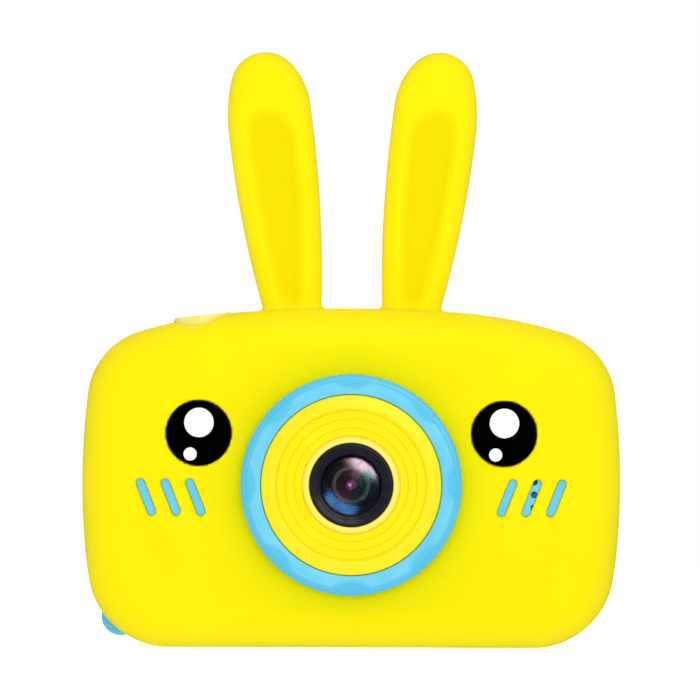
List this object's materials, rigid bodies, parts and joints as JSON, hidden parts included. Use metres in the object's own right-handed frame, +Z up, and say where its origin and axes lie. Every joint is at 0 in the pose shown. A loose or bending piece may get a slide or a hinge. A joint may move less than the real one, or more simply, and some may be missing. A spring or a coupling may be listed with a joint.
{
  "type": "children's digital camera",
  "caption": "Compact camera with a knurled lens ring and rear screen, in a soft sleeve with two upright rabbit ears and a simple face.",
  "frame": {"origin": "on the table under the middle of the camera, at the middle of its width and depth", "axes": "+Z up along the ears, the lens looks along -Y, +X to the right of someone who looks at the lens"},
  "size_m": [0.096, 0.0399, 0.1064],
  "materials": {
    "yellow_silicone": "satin, slightly soft",
    "black_print": "gloss",
    "white_print": "gloss",
    "blue_plastic": "satin",
    "yellow_plastic": "satin",
    "black_plastic": "matte",
    "grey_plastic": "matte",
    "coated_glass": "polished, coated",
    "filter_glass": "polished",
    "screen_acrylic": "polished",
    "lcd": "gloss",
    "foam": "matte",
    "circuit_board": "satin solder mask",
    "chip_black": "matte",
    "steel": "plated",
    "socket_white": "matte",
    "battery_foil": "satin",
    "battery_tape": "matte",
    "speaker_metal": "satin",
    "red_wire": "satin",
    "black_wire": "satin",
    "amber_flex": "satin",
    "clear_plastic": "polished",
    "blue_rubber": "matte"
  },
  "bodies": {
    "camera": {"silicone_sleeve": "yellow_silicone", "left_eye": "black_print", "right_eye": "black_print", "eye_sparkles": "white_print", "front_shell": "blue_plastic", "rear_shell": "blue_plastic", "lanyard_eyelet": "blue_plastic", "lens_bezel": "yellow_plastic", "lens_barrel": "black_plastic", "front_lens": "coated_glass", "inner_lens": "coated_glass", "rear_lens": "coated_glass", "lens_baffle": "grey_plastic", "aperture_disc": "black_plastic", "lens_holder": "black_plastic", "ir_filter": "filter_glass", "image_sensor": "chip_black", "sensor_board": "circuit_board", "red_leads": "red_wire", "black_leads": "black_wire", "sensor_flex": "amber_flex", "lcd_flex": "amber_flex", "screen_window": "screen_acrylic", "lcd_panel": "lcd", "screen_gasket": "foam", "lcd_carrier": "black_plastic", "main_board": "circuit_board", "board_chips": "chip_black", "board_sockets": "socket_white", "status_led": "clear_plastic", "microphone": "steel", "usb_socket": "steel", "card_socket": "steel", "battery": "battery_foil", "battery_tape": "battery_tape", "speaker": "speaker_metal", "housing_screws": "steel", "board_screws": "steel", "key_switches": "black_plastic", "shutter_switch": "black_plastic", "shutter_board": "circuit_board", "port_cover_anchor": "blue_rubber"},
    "focus_ring": {"focus_ring": "blue_plastic"},
    "shutter": {"shutter_button": "yellow_plastic", "shutter_plunger": "grey_plastic"},
    "port_cover": {"port_cover": "blue_rubber"},
    "up_key": {"up_key": "yellow_plastic", "up_plunger": "grey_plastic"},
    "down_key": {"down_key": "yellow_plastic", "down_plunger": "grey_plastic"},
    "left_key": {"left_key": "yellow_plastic", "left_plunger": "grey_plastic"},
    "right_key": {"right_key": "yellow_plastic", "right_plunger": "grey_plastic"},
    "ok_key": {"ok_key": "yellow_plastic", "ok_plunger": "grey_plastic"},
    "mode_key": {"mode_key": "yellow_plastic", "mode_plunger": "grey_plastic"},
    "power_key": {"power_key": "yellow_plastic", "power_plunger": "grey_plastic"}
  },
  "joints": [
    {"name": "focus_ring_turn", "type": "hinge", "parent": "camera", "child": "focus_ring", "pos_m": [0, -0.0165, 0.0291], "axis": [0, -1, 0], "continuous": true},
    {"name": "shutter_press", "type": "slide", "parent": "camera", "child": "shutter", "axis": [0, 0, -1], "range_m": [0, 0.0008], "stiffness_N_per_m": 300, "springref_m": -0.0005},
    {"name": "up_key_press", "type": "slide", "parent": "camera", "child": "up_key", "axis": [0, -1, 0], "range_m": [0, 0.0005], "stiffness_N_per_m": 300, "springref_m": -0.0005},
    {"name": "down_key_press", "type": "slide", "parent": "camera", "child": "down_key", "axis": [0, -1, 0], "range_m": [0, 0.0005], "stiffness_N_per_m": 300, "springref_m": -0.0005},
    {"name": "left_key_press", "type": "slide", "parent": "camera", "child": "left_key", "axis": [0, -1, 0], "range_m": [0, 0.0005], "stiffness_N_per_m": 300, "springref_m": -0.0005},
    {"name": "right_key_press", "type": "slide", "parent": "camera", "child": "right_key", "axis": [0, -1, 0], "range_m": [0, 0.0005], "stiffness_N_per_m": 300, "springref_m": -0.0005},
    {"name": "ok_key_press", "type": "slide", "parent": "camera", "child": "ok_key", "axis": [0, -1, 0], "range_m": [0, 0.0005], "stiffness_N_per_m": 300, "springref_m": -0.0005},
    {"name": "mode_key_press", "type": "slide", "parent": "camera", "child": "mode_key", "axis": [0, -1, 0], "range_m": [0, 0.0005], "stiffness_N_per_m": 300, "springref_m": -0.0005},
    {"name": "power_key_press", "type": "slide", "parent": "camera", "child": "power_key", "axis": [0, -1, 0], "range_m": [0, 0.0005], "stiffness_N_per_m": 300, "springref_m": -0.0005},
    {"name": "port_cover_hinge", "type": "hinge", "parent": "camera", "child": "port_cover", "pos_m": [0.0475, 0.007, 0.0183], "axis": [0, 1, 0], "range_deg": [0, 100]}
  ]
}
